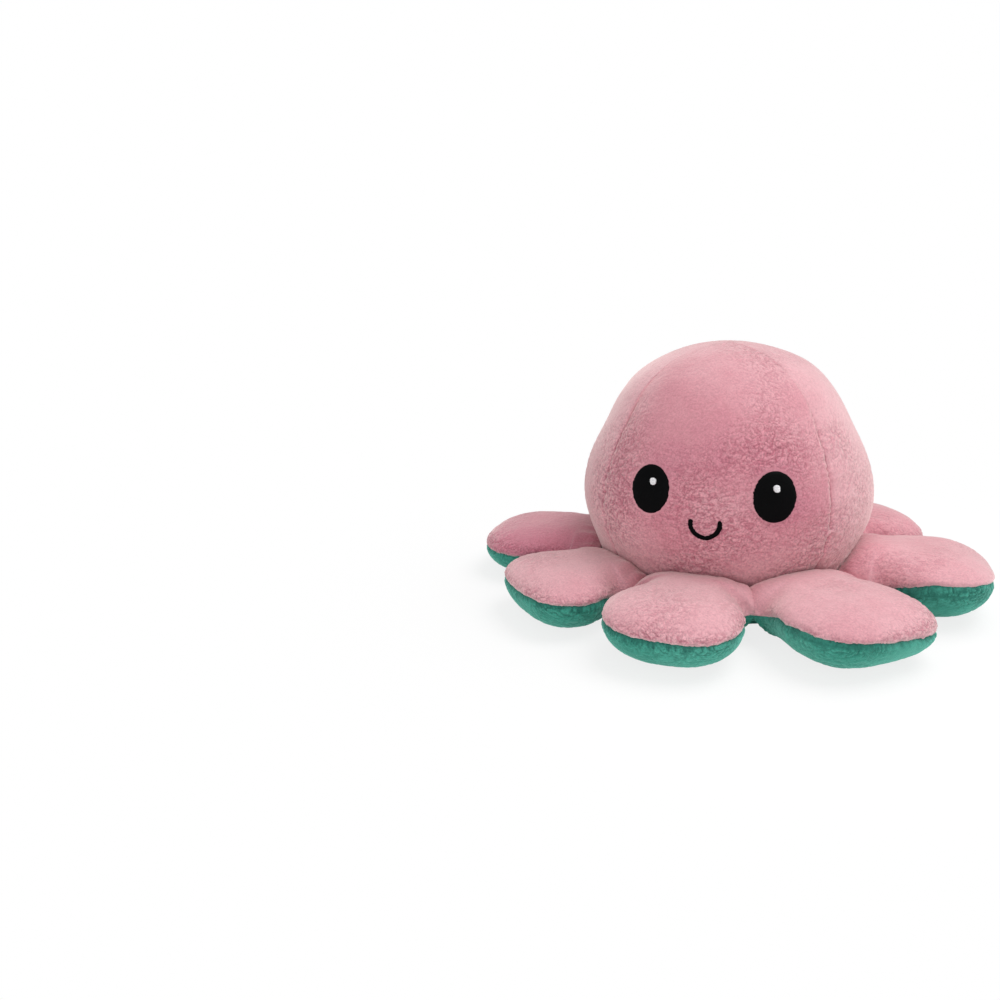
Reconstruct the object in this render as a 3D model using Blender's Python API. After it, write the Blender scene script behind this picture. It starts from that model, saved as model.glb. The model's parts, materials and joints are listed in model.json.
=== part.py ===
"""A reversible plush octopus, turned pink side out.

The stuffed head is sewn from four panels. A pocket of teal plush is tucked up inside it: it is the teal
side's head, which comes out when the toy is turned. Eight stuffed tentacles, each with a pink top and a
teal underside, bend at their roots round a skirt ring.

Metres, +Z up. The face looks along -Y, and the origin is under the middle of the head, on the surface that
the toy stands on. Left and right are as seen by someone who looks at the face.
"""

import math
from collections import namedtuple

import bmesh
import bpy
from mathutils import Matrix, Vector

# Cloth and seams
CLOTH = 0.0018          # short-pile plush, its backing and its pile together
SEAM_GAP = 0.0003       # left between pieces that are sewn together
FIBRE_GAP = 0.0007      # left between the flat facets of the cloth and the fibre behind it
FLAT_CUT = 0.0005       # how deep the standing surface presses a tentacle flat

# Head, over the neck seam where it meets the skirt
HEAD_RADIUS = 0.0575
HEAD_RISE = 0.0578      # from the widest level up to the crown
NECK_DROP = 0.0261      # from the widest level down to the neck seam
NECK_Z = 0.0185
NECK_SHARE = 0.87       # neck radius over head radius
ROUNDNESS = 2.05        # power of the head's curve: 2 is an ellipse, more is boxier

# Pocket, up inside the head
POCKET_RADIUS = 0.031
POCKET_RISE = 0.034     # from its widest level up to its closed end
POCKET_DEPTH = 0.034    # from its mouth up to its widest level
MOUTH_SHARE = 0.95      # radius of the pocket's mouth over the pocket's radius

# Skirt ring between the head and the tentacles
RING_FLARE = 0.0015     # how far the ring's edge seam stands out past the neck
SEAM_Z = 0.014          # height of the edge seam, the same on the ring and the tentacles
BASE_ROUND = 0.008      # how far inside the edge seam the flat base starts
MOUTH_LIP = 0.0012      # rounding of the base at the pocket's mouth
RING_TURN_DEG = -3.5    # how far the ring of tentacles sits round from the face

# Tentacles
TENTACLES = 8
TENTACLE_LENGTH = 0.0497
TENTACLE_PARTING = 0.009  # between neighbours, where they are widest
TENTACLE_LOFT = 0.009     # how far the stuffed top stands over its seam
PEAK_SHARE = 0.44         # where along its length the tentacle is thickest
TAPER_SHARE = 0.05        # how much narrower the root is than the middle, and the tip wider
ROOT_POWER = 3.4          # squareness of the outline at the root
TIP_POWER = 2.15          # squareness of the outline at the tip
SWELL_POWER = 2.6         # how flat the stuffed top is
EDGE_POWER = 0.52         # how steeply it leaves the seam

# Embroidery
THREAD_RISE = 0.0007    # satin stitch over the cloth
EYE_HALF_WIDTH = 0.0077
EYE_HALF_HEIGHT = 0.009
EYE_SPREAD_SHARE = 0.384  # from the middle of the face, over the head's radius
EYE_UP = 0.0087         # over the head's widest level
GLINT_RADIUS = 0.0013
GLINT_ASIDE = 0.0009
GLINT_UP = 0.0029
STROKE = 0.00135        # width of the embroidered mouth lines
SMILE_HALF_WIDTH = 0.0054
SMILE_DEPTH = 0.0066
SMILE_DOWN = 0.0002     # its ends, under the head's widest level
FROWN_EYE_HALF = 0.006
FROWN_EYE_SPREAD_SHARE = 0.339  # over the pocket's radius
FROWN_EYE_UP = 0.004    # over the pocket's widest level
FROWN_BROW_SHARE = 0.3  # how high the slanted brow line cuts the eye
FROWN_SLANT_SHARE = 0.22
FROWN_HALF_WIDTH = 0.0035
FROWN_DEPTH = 0.004
FROWN_DOWN = 0.009
FROWN_THINNER_SHARE = 0.8

# Facets
PANEL_ACROSS_STEPS = 12
PANEL_UP_STEPS = 12
LINING_ACROSS_STEPS = 7
LINING_UP_STEPS = 7
LINING_FACE_ACROSS_STEPS = 12  # finer, because embroidery lies on its hollow side
LINING_FACE_UP_STEPS = 10
SECTION_STEPS = 60      # samples of a panel's upright section, before its even facets are chosen
ROUND_STEPS = 48
DOME_STEPS = 12
TENTACLE_AROUND_STEPS = 24
TENTACLE_RING_STEPS = 4
THREAD_AROUND_STEPS = 20
THREAD_RING_STEPS = 2
STROKE_ALONG_STEPS = 14
STROKE_ACROSS_STEPS = 2
INNER_SHARE = 0.5       # radius of a unit shell's inner layer over its outer one's
MERGE_SHARE = 0.01      # of the seam gap: points closer than this are one
SHARP_ANGLE_DEG = 50    # edges that turn more than this stay sharp
HALVINGS = 40           # steps of each search for a point on a curved surface

SIDES = ("face", "right", "back", "left")
PANELS = len(SIDES)

INK = "101012"
PINK = "E3A9B2"
TEAL = "3F9E8C"
WHITE_THREAD = "F2F0EC"
FIBRE = "F4F3EF"

Dome = namedtuple("Dome", "radius rise drop widest_z")


def drop_for(depth, share):
    """How deep the lower half reaches, if at this depth below its widest level its radius has this share."""
    return depth / (1 - share**ROUNDNESS) ** (1 / ROUNDNESS)


BASE_TOP = CLOTH + SEAM_GAP
HEAD = Dome(HEAD_RADIUS, HEAD_RISE, drop_for(NECK_DROP, NECK_SHARE), NECK_Z + NECK_DROP)
POCKET = Dome(POCKET_RADIUS, POCKET_RISE, drop_for(POCKET_DEPTH, MOUTH_SHARE), BASE_TOP + POCKET_DEPTH)
NECK_RADIUS = HEAD_RADIUS * NECK_SHARE
MOUTH_RADIUS = POCKET_RADIUS * MOUTH_SHARE
RING_RADIUS = NECK_RADIUS + RING_FLARE
HINGE_RADIUS = RING_RADIUS + SEAM_GAP
MERGE = SEAM_GAP * MERGE_SHARE


def linear(code):
    """An sRGB hex colour as linear values."""
    channels = [int(code[i : i + 2], 16) / 255 for i in (0, 2, 4)]
    return [c / 12.92 if c <= 0.04045 else ((c + 0.055) / 1.055) ** 2.4 for c in channels] + [1]


def material(name, code, roughness):
    """A Principled material of one colour; none of the toy's pieces is metal."""
    made = bpy.data.materials.new(name)
    made.use_nodes = True
    shader = made.node_tree.nodes["Principled BSDF"]
    shader.inputs["Base Color"].default_value = linear(code)
    shader.inputs["Roughness"].default_value = roughness
    shader.inputs["Metallic"].default_value = 0
    return made


def finish(bm, name, made):
    """Turn a bmesh into a named object with faces out and round forms shaded smooth."""
    bmesh.ops.remove_doubles(bm, verts=bm.verts, dist=MERGE)
    bmesh.ops.recalc_face_normals(bm, faces=bm.faces)
    mesh = bpy.data.meshes.new(name)
    bm.to_mesh(mesh)
    bm.free()
    mesh.shade_smooth()
    mesh.set_sharp_from_angle(angle=math.radians(SHARP_ANGLE_DEG))
    mesh.materials.append(made)
    item = bpy.data.objects.new(name, mesh)
    bpy.context.collection.objects.link(item)
    return item


def dome_radius(dome, z, skin):
    """The dome's radius at height z, for a layer that lies skin inside its surface."""
    reach = dome.rise if z > dome.widest_z else dome.drop
    share = min(abs(z - dome.widest_z) / (reach - skin), 1)
    return (dome.radius - skin) * (1 - share**ROUNDNESS) ** (1 / ROUNDNESS)


def outside(dome, skin, point):
    """Whether a point is outside the layer that lies skin inside the dome's surface."""
    reach = dome.rise if point.z > dome.widest_z else dome.drop
    across = math.hypot(point.x, point.y) / (dome.radius - skin)
    upward = abs(point.z - dome.widest_z) / (reach - skin)
    return across**ROUNDNESS + upward**ROUNDNESS > 1


def meet(dome, skin, start, direction):
    """Where a line from a start inside the dome leaves the layer."""
    near = 0
    far = 2 * (dome.radius + dome.rise + dome.drop)
    for _ in range(HALVINGS):
        middle = (near + far) / 2
        if outside(dome, skin, start + direction * middle):
            far = middle
        else:
            near = middle
    return start + direction * near


def half_shell(around, rings):
    """Two hemispheres joined at the rim: the outer one has radius 1, and the inner one its share of that."""
    bm = bmesh.new()
    bmesh.ops.create_uvsphere(bm, u_segments=around, v_segments=2 * rings, radius=1)
    equator = math.sin(math.pi / (8 * rings))
    bmesh.ops.delete(bm, geom=[v for v in bm.verts if v.co.z < -equator], context="VERTS")
    grown = bmesh.ops.extrude_face_region(bm, geom=bm.faces[:])
    inner = [v for v in grown["geom"] if isinstance(v, bmesh.types.BMVert)]
    bmesh.ops.scale(bm, verts=inner, vec=[INNER_SHARE] * 3)
    bmesh.ops.reverse_faces(bm, faces=[f for f in bm.faces if f.calc_center_median().length < INNER_SHARE])
    return bm


def on_outer_layer(vert):
    """Whether a vertex of a unit half shell belongs to its outer hemisphere."""
    return vert.co.length > (1 + INNER_SHARE) / 2


def unit_slab(across, up):
    """A sheet from 0 to 1 each way, with a second layer one unit over it and walls round its edge."""
    bm = bmesh.new()
    bmesh.ops.create_grid(bm, x_segments=across, y_segments=up, size=0.5)
    bmesh.ops.translate(bm, verts=bm.verts, vec=(0.5, 0.5, 0))
    grown = bmesh.ops.extrude_face_region(bm, geom=bm.faces[:])
    upper = [v for v in grown["geom"] if isinstance(v, bmesh.types.BMVert)]
    bmesh.ops.translate(bm, verts=upper, vec=(0, 0, 1))
    return bm


def evenly(points, count):
    """The points of a path that divide it into count equal lengths."""
    lengths = [0]
    for before, after in zip(points, points[1:]):
        lengths.append(lengths[-1] + (after - before).length)
    chosen = []
    place = 1
    for step in range(count + 1):
        wanted = lengths[-1] * step / count
        while place < len(points) - 1 and lengths[place] < wanted:
            place += 1
        share = (wanted - lengths[place - 1]) / (lengths[place] - lengths[place - 1])
        chosen.append(points[place - 1].lerp(points[place], share))
    return chosen


def gored_panel(name, made, dome, skins, low_z, bisector, facets):
    """A quarter of a dome's skin, from low_z up to a point at the crown, set back from its side seams."""
    first = bisector - math.pi / PANELS
    last = bisector + math.pi / PANELS
    setback = SEAM_GAP / 2 / math.sin(math.pi / PANELS)
    start = Vector((math.sin(bisector), -math.cos(bisector), 0)) * setback
    start.z = dome.widest_z

    def aim(turn, lift):
        level = Vector((math.sin(turn), -math.cos(turn), 0)) * math.cos(lift)
        return level + Vector((0, 0, math.sin(lift)))

    def section(turn, skin):
        """Evenly spaced points, from low_z up to where the panels meet, in the plane of one turn."""
        low, high = -math.pi / 2, 0
        for _ in range(HALVINGS):
            middle = (low + high) / 2
            if meet(dome, skin, start, aim(turn, middle)).z < low_z:
                low = middle
            else:
                high = middle
        lifts = [high + (math.pi / 2 - high) * step / SECTION_STEPS for step in range(SECTION_STEPS + 1)]
        return evenly([meet(dome, skin, start, aim(turn, lift)) for lift in lifts], facets[1])

    across = range(facets[0] + 1)
    turns = [first + (last - first) * step / facets[0] for step in across]
    sections = [[section(turn, skin) for turn in turns] for skin in skins]
    bm = unit_slab(*facets)
    for vert in bm.verts:
        layer = sections[round(vert.co.z)]
        vert.co = layer[round(vert.co.x * facets[0])][round(vert.co.y * facets[1])]
    return finish(bm, name, made)


def head_panels(made):
    """The face, right, back and left panels of the pink head."""
    for index, side in enumerate(SIDES):
        name = "face_panel" if side == "face" else f"{side}_head_panel"
        bisector = 2 * math.pi * index / PANELS
        facets = (PANEL_ACROSS_STEPS, PANEL_UP_STEPS)
        gored_panel(name, made, HEAD, (CLOTH, 0), NECK_Z, bisector, facets)


def pocket_panels(made):
    """The same four panels of the teal head, turned in. Their right side faces the hollow."""
    for index, side in enumerate(SIDES):
        bisector = 2 * math.pi * index / PANELS
        facets = (LINING_ACROSS_STEPS, LINING_UP_STEPS)
        if side == "face":
            facets = (LINING_FACE_ACROSS_STEPS, LINING_FACE_UP_STEPS)
        gored_panel(f"pocket_{side}_panel", made, POCKET, (0, -CLOTH), BASE_TOP, bisector, facets)


def turned(name, made, profile, closed):
    """A body of revolution from its profile of (radius, height) points."""
    bm = bmesh.new()
    verts = [bm.verts.new((radius, 0, z)) for radius, z in profile]
    edges = [bm.edges.new(pair) for pair in zip(verts, verts[1:])]
    if closed:
        edges.append(bm.edges.new((verts[-1], verts[0])))
    full_turn = 2 * math.pi
    bmesh.ops.spin(
        bm,
        geom=verts + edges,
        cent=(0, 0, 0),
        axis=(0, 0, 1),
        angle=full_turn,
        steps=ROUND_STEPS,
        use_merge=True,
    )
    return finish(bm, name, made)


def ring_profile(skin):
    """The skirt ring's upper side, from the neck down to the edge seam, skin inside its outer face."""
    height = NECK_Z - SEAM_Z
    neck = dome_radius(HEAD, NECK_Z, skin)
    return [
        (neck, NECK_Z - SEAM_GAP),
        (neck + RING_FLARE / 4, SEAM_Z + height / 2),
        (RING_RADIUS - skin, SEAM_Z + SEAM_GAP / 2),
    ]


def base_profile(skin):
    """The skirt ring's lower side, from the edge seam down to the flat base, skin inside its outer face."""
    flat = RING_RADIUS - BASE_ROUND
    return [
        (RING_RADIUS - skin, SEAM_Z - SEAM_GAP / 2),
        (RING_RADIUS - BASE_ROUND / 6 - skin, SEAM_Z * 2 / 3),
        (RING_RADIUS - BASE_ROUND / 3 - skin, SEAM_Z / 3),
        (flat + BASE_ROUND / 3 - skin / 2, skin + (SEAM_Z / 3 - skin) / 4),
        (flat - skin / 2, skin),
    ]


def skirt_rings(pink, teal):
    turned("upper_skirt_ring", pink, ring_profile(0) + ring_profile(CLOTH)[::-1], True)
    lip = [
        (MOUTH_RADIUS + MOUTH_LIP, 0),
        (MOUTH_RADIUS, MOUTH_LIP),
        (MOUTH_RADIUS, CLOTH),
    ]
    turned("lower_skirt_ring", teal, base_profile(0) + lip + base_profile(CLOTH)[::-1], True)


def dome_curve(dome, skin, low_z):
    """Points from the dome's crown down to low_z, in even steps of its slope."""
    reach = dome.drop - skin
    lowest = math.asin(min((dome.widest_z - low_z) / reach, 1))
    points = []
    for step in range(DOME_STEPS + 1):
        lift = math.pi / 2 - (math.pi / 2 + lowest) * step / DOME_STEPS
        height = (dome.rise - skin if lift > 0 else reach) * math.sin(lift)
        z = dome.widest_z + height
        points.append((dome_radius(dome, z, skin) if step else 0, z))
    return points


def head_stuffing(made):
    """The fibre between the pink head and the teal pocket, down to the skirt's base."""
    inside = CLOTH + FIBRE_GAP
    outer = dome_curve(HEAD, inside, NECK_Z) + ring_profile(inside)[1:-1]
    edge = RING_RADIUS - inside - CLOTH / 2
    outer += [(edge, SEAM_Z)] + base_profile(inside)[1:]
    low_z = base_profile(inside)[-1][1]
    pocket = dome_curve(POCKET, -inside, low_z)
    turned("head_stuffing", made, outer + pocket[::-1], False)


def tentacle_point(direction, inset, loft, lowest):
    """A point of a stuffed tentacle, inset inside its outer face. The hinge is at the local origin."""
    half_length = TENTACLE_LENGTH / 2
    sector = (HINGE_RADIUS + half_length) * math.tan(math.pi / TENTACLES)
    half_width = sector - TENTACLE_PARTING / 2 / math.cos(math.pi / TENTACLES)
    share = min(math.hypot(direction.x, direction.y), 1)
    around = math.atan2(direction.y, direction.x)
    along, across = math.cos(around), math.sin(around)
    power = 2 / (TIP_POWER if along > 0 else ROOT_POWER)
    along = math.copysign(abs(along) ** power, along)
    across = math.copysign(abs(across) ** power, across) * (1 + TAPER_SHARE * along)
    swell = (1 - share**SWELL_POWER) ** EDGE_POWER if share < 1 else 0
    height = math.copysign(swell, direction.z) * (loft - inset)
    edge = half_length + (half_length - inset) * along
    peak = TENTACLE_LENGTH * PEAK_SHARE
    return Vector((
        peak + (edge - peak) * share,
        (half_width - inset) * across * share,
        max(height, lowest - SEAM_Z),
    ))


def tentacle_shell(name, made, upper):
    """The top or the underside of a tentacle: one skin from the edge seam, with the cloth's thickness."""
    loft = TENTACLE_LOFT if upper else SEAM_Z + FLAT_CUT
    side = 1 if upper else -1
    bm = half_shell(TENTACLE_AROUND_STEPS, TENTACLE_RING_STEPS)
    for vert in bm.verts:
        inset = 0 if on_outer_layer(vert) else CLOTH
        direction = vert.co.normalized()
        direction.z = max(direction.z, 0) * side
        vert.co = tentacle_point(direction, inset, loft, inset)
        vert.co.z += side * SEAM_GAP / 2
        vert.co.z = max(vert.co.z, inset - SEAM_Z)
    return finish(bm, name, made)


def tentacle_fibre(name, made):
    """The fibre inside a tentacle."""
    inside = CLOTH + SEAM_GAP
    bm = bmesh.new()
    levels = 2 * TENTACLE_RING_STEPS
    bmesh.ops.create_uvsphere(bm, u_segments=TENTACLE_AROUND_STEPS, v_segments=levels, radius=1)
    for vert in bm.verts:
        loft = TENTACLE_LOFT if vert.co.z > 0 else SEAM_Z + FLAT_CUT
        vert.co = tentacle_point(vert.co.normalized(), inside, loft, inside)
    return finish(bm, name, made)


def tentacles(pink, teal, fibre):
    """Eight tentacles, each on an empty that lies on its hinge at the root, numbered from the front."""
    pieces = {
        "top": tentacle_shell("tentacle_top_form", pink, True),
        "underside": tentacle_shell("tentacle_underside_form", teal, False),
        "stuffing": tentacle_fibre("tentacle_stuffing_form", fibre),
    }
    for index in range(TENTACLES):
        turn = 2 * math.pi * index / TENTACLES - math.pi / 2 + math.radians(RING_TURN_DEG)
        hinge = bpy.data.objects.new(f"tentacle_{index + 1}_hinge", None)
        hinge.location = Vector((math.cos(turn), math.sin(turn), 0)) * HINGE_RADIUS + Vector((0, 0, SEAM_Z))
        hinge.rotation_euler.z = turn
        bpy.context.collection.objects.link(hinge)
        for part, form in pieces.items():
            item = bpy.data.objects.new(f"tentacle_{index + 1}_{part}", form.data)
            item.parent = hinge
            bpy.context.collection.objects.link(item)
    for form in pieces.values():
        bpy.data.objects.remove(form)


def seat_on(dome, aside, up):
    """A frame on the front of a dome: where a piece of embroidery sits, and which way it faces."""
    z = dome.widest_z + up
    radius = dome_radius(dome, z, 0)
    front = -math.sqrt(radius**2 - aside**2)
    reach = dome.rise if up > 0 else dome.drop
    slope = math.copysign((abs(up) / reach) ** (ROUNDNESS - 1), up) / reach
    level = (radius / dome.radius) ** (ROUNDNESS - 1) / dome.radius
    normal = Vector((aside / radius * level, front / radius * level, slope)).normalized()
    sideways = Vector((0, 0, 1)).cross(normal).normalized()
    frame = Matrix((sideways, normal.cross(sideways), normal)).transposed().to_4x4()
    frame.translation = Vector((aside, front, z))
    return frame


def lay_on(dome, frame, skin, aside, up):
    """A point of the layer skin inside a dome, straight over a place in a seat's frame."""
    inward = dome.radius / 2
    start = frame @ Vector((aside, up, -inward))
    return meet(dome, skin, start, frame.to_3x3() @ Vector((0, 0, 1)))


def oval(half_width, half_height, aside=0, up=0):
    """An oval outline, as a function that turns a place in the unit disc into one on the cloth."""

    def spread(x, y):
        return aside + x * half_width, up + y * half_height

    return spread


def stitched_patch(name, made, dome, frame, skins, outline):
    """A filled patch of satin stitch, inside an outline."""
    bm = half_shell(THREAD_AROUND_STEPS, THREAD_RING_STEPS)
    for vert in bm.verts:
        skin = skins[1] if on_outer_layer(vert) else skins[0]
        place = vert.co.normalized()
        vert.co = lay_on(dome, frame, skin, *outline(place.x, place.y))
    return finish(bm, name, made)


def stitched_arc(name, made, dome, frame, skins, half_width, depth, stroke):
    """A stroke of satin stitch along an arc, whose middle is depth under its ends, with round ends."""
    radius = (half_width**2 + depth**2) / (2 * depth)
    half_angle = 2 * math.atan(depth / half_width)
    bm = unit_slab(STROKE_ALONG_STEPS, STROKE_ACROSS_STEPS)
    for vert in bm.verts:
        skin = skins[round(vert.co.z)]
        past = abs(2 * vert.co.x - 1) - (1 - 2 / STROKE_ALONG_STEPS)
        ending = math.sqrt(max(1 - (max(past, 0) * STROKE_ALONG_STEPS / 2) ** 2, 0))
        angle = half_angle * (2 * vert.co.x - 1)
        reach = radius + (vert.co.y - 1 / 2) * stroke * ending
        aside = reach * math.sin(angle)
        up = radius - depth - reach * math.cos(angle)
        vert.co = lay_on(dome, frame, skin, aside, up)
    return finish(bm, name, made)


def outer_face(ink, glint):
    """Two upright oval eyes with a white dot each, and a smile, on the face panel."""
    on_cloth = (-SEAM_GAP, -SEAM_GAP - THREAD_RISE)
    on_thread = (on_cloth[1] - SEAM_GAP, on_cloth[1] - SEAM_GAP - THREAD_RISE)
    for side, name in ((-1, "left"), (1, "right")):
        frame = seat_on(HEAD, side * EYE_SPREAD_SHARE * HEAD_RADIUS, EYE_UP)
        eye = oval(EYE_HALF_WIDTH, EYE_HALF_HEIGHT)
        stitched_patch(f"{name}_eye", ink, HEAD, frame, on_cloth, eye)
        dot = oval(GLINT_RADIUS, GLINT_RADIUS, GLINT_ASIDE, GLINT_UP)
        stitched_patch(f"{name}_eye_glint", glint, HEAD, frame, on_thread, dot)
    frame = seat_on(HEAD, 0, -SMILE_DOWN)
    stitched_arc("smile", ink, HEAD, frame, on_cloth, SMILE_HALF_WIDTH, SMILE_DEPTH, STROKE)


def inner_face(ink, glint):
    """The teal side's face on the wall of the pocket: eyes cut by slanted brows, and a frown."""
    on_cloth = (SEAM_GAP, SEAM_GAP + THREAD_RISE)
    on_thread = (on_cloth[1] + SEAM_GAP, on_cloth[1] + SEAM_GAP + THREAD_RISE)
    for side, name in ((-1, "left"), (1, "right")):
        frame = seat_on(POCKET, side * FROWN_EYE_SPREAD_SHARE * POCKET_RADIUS, FROWN_EYE_UP)

        def browed(x, y, side=side):
            brow = FROWN_BROW_SHARE + side * FROWN_SLANT_SHARE * x
            return x * FROWN_EYE_HALF, min(y, brow) * FROWN_EYE_HALF

        radius = GLINT_RADIUS * FROWN_THINNER_SHARE
        dot = oval(radius, radius, GLINT_ASIDE, -radius)
        stitched_patch(f"inner_{name}_eye", ink, POCKET, frame, on_cloth, browed)
        stitched_patch(f"inner_{name}_eye_glint", glint, POCKET, frame, on_thread, dot)
    frame = seat_on(POCKET, 0, -FROWN_DOWN)
    stroke = STROKE * FROWN_THINNER_SHARE
    stitched_arc("inner_frown", ink, POCKET, frame, on_cloth, FROWN_HALF_WIDTH, -FROWN_DEPTH, stroke)


def main():
    for item in list(bpy.data.objects):
        bpy.data.objects.remove(item)
    pink = material("pink_plush", PINK, 0.95)
    teal = material("teal_plush", TEAL, 0.95)
    ink = material("black_thread", INK, 0.6)
    glint = material("white_thread", WHITE_THREAD, 0.5)
    fibre = material("polyester_fibre", FIBRE, 1)
    head_panels(pink)
    pocket_panels(teal)
    skirt_rings(pink, teal)
    head_stuffing(fibre)
    outer_face(ink, glint)
    inner_face(ink, glint)
    tentacles(pink, teal, fibre)


main()
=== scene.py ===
# %% [markdown]
# # A reversible plush octopus, pink side out
#
# The real toy is two octopuses of short-pile velour, one pink and one teal, sewn together along the edge of
# their tentacles and at the mouth of the head. What this lesson dresses is the stuffed toy as it stands: a
# head of four panels, eight stuffed tentacles, and the teal side tucked up inside as a pocket.
#
# The solids come in first as a fixed frame. Everything after that is cloth, pile and thread, laid over them.

import json
import math
from collections import namedtuple

import bmesh
import bpy
import numpy as np
from mathutils import Matrix, Vector, noise


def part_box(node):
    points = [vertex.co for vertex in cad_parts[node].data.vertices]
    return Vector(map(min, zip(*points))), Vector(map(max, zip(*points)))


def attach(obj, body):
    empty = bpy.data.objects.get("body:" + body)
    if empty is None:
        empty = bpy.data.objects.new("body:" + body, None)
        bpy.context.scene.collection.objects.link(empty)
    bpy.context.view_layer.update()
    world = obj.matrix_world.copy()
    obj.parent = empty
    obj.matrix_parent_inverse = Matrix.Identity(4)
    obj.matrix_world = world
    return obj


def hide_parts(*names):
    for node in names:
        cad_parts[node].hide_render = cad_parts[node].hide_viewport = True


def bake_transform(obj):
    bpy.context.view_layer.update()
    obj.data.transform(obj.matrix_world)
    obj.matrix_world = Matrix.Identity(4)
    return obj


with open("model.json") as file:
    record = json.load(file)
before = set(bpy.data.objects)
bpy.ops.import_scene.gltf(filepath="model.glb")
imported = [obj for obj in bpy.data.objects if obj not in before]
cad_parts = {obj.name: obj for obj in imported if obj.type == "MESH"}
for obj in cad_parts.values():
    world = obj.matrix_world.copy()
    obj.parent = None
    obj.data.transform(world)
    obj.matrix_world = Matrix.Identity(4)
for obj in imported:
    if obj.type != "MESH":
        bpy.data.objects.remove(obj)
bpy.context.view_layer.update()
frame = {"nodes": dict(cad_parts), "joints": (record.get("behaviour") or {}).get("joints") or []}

# %% [markdown]
# ## The camera
#
# A photograph taken close up makes near tentacles large and far ones small, and that can't be faked with a
# long lens. The distance, height and lens below were found by laying the toy's outline over its picture. The
# toy stands right of the middle there, so the camera looks past it instead of shifting its lens.

# %% Place the camera
IMAGE_PIXELS = 1000
FOCAL_PIXELS = 905
SENSOR_MM = 36
CAMERA_DISTANCE = 0.390
CAMERA_AZIMUTH_DEG = 4.95
CAMERA_ELEVATION_DEG = 14.2
CAMERA_ROLL_DEG = -2.15
TARGET = Vector((0, 0, 0.045))
TARGET_PIXEL = (723.4, 479.5)

azimuth = math.radians(CAMERA_AZIMUTH_DEG)
elevation = math.radians(CAMERA_ELEVATION_DEG)
back = Vector((
    math.sin(azimuth) * math.cos(elevation),
    -math.cos(azimuth) * math.cos(elevation),
    math.sin(elevation),
))
right = Vector((math.cos(azimuth), math.sin(azimuth), 0))
straight = Matrix((right, back.cross(right), back)).transposed()
rolled = straight @ Matrix.Rotation(math.radians(-CAMERA_ROLL_DEG), 3, "Z")
beside = TARGET_PIXEL[0] - IMAGE_PIXELS / 2
above = IMAGE_PIXELS / 2 - TARGET_PIXEL[1]
sight = Vector((beside, above, -FOCAL_PIXELS)).normalized()
aside = Vector((0, 0, -1)).rotation_difference(sight).to_matrix()

camera_data = bpy.data.cameras.new("portrait_camera")
camera_data.sensor_width = SENSOR_MM
camera_data.lens = FOCAL_PIXELS / IMAGE_PIXELS * SENSOR_MM
camera = bpy.data.objects.new("portrait_camera", camera_data)
bpy.context.collection.objects.link(camera)
camera.matrix_world = (rolled @ aside.transposed()).to_4x4()
camera.location = TARGET + back * CAMERA_DISTANCE
bpy.context.scene.camera = camera
print("camera lens", round(camera_data.lens, 1), "mm, at", [round(c, 3) for c in camera.location])

# %% [markdown]
# ## Materials
#
# Every material here is a cloth or a thread. Colours are written as sRGB hex, the way a dye card would give
# them, and one function turns them into the linear values that a shader wants. One small function adds a
# node, sets it and links it.

# %% Colour and node helpers
def linear(code):
    """An sRGB hex colour as linear RGBA."""
    channels = [int(code[i : i + 2], 16) / 255 for i in (0, 2, 4)]
    return [c / 12.92 if c <= 0.04045 else ((c + 0.055) / 1.055) ** 2.4 for c in channels] + [1]


def add_node(tree, kind, inputs=None, **settings):
    """Add a shader node, change its settings, and set or link its inputs by name or number."""
    node = tree.nodes.new(kind)
    for name, value in settings.items():
        setattr(node, name, value)
    for name, value in (inputs or {}).items():
        if isinstance(value, bpy.types.NodeSocket):
            tree.links.new(value, node.inputs[name])
        else:
            node.inputs[name].default_value = value
    return node


def set_ramp(node, stops):
    """Give a colour ramp its stops, as pairs of a place and a hex colour."""
    elements = node.color_ramp.elements
    while len(elements) < len(stops):
        elements.new(0.5)
    for element, (place, code) in zip(elements, stops):
        element.position = place
        element.color = linear(code)
    return node.outputs["Color"]


MM = 0.001
print("pink plush in linear light:", [round(c, 3) for c in linear("DF9BA8")])

# %% [markdown]
# ## Short-pile velour
#
# Velour is knitted with loops that are then sheared, so its face is a lawn of fine upright fibres about a
# millimetre long. Three things make it look like velour. The fibre tips catch light at a grazing angle, which
# is sheen. Brushing lays the pile over in patches, and a patch that leans away from the eye is deeper; here
# that is a slow random change of tone. On the pink, painted light and shade is added to that tone: paler
# where light falls or the cloth is seen at a grazing angle, deeper where the head shades it. And the fibres
# stand in small clumps, with painted shade in the gaps between them.
#
# The clumps are real geometry, grown further down, and each vertex keeps how high its clump stands in an
# attribute named pile. The material reads it and paints shade where the surface is low: in the gaps and in
# the seams' grooves.

# %% Velour material
GRAIN_MM = 0.7           # a pinch of fibres; a single one is too fine to show
BRUSHED_PATCH_MM = 30


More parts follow.
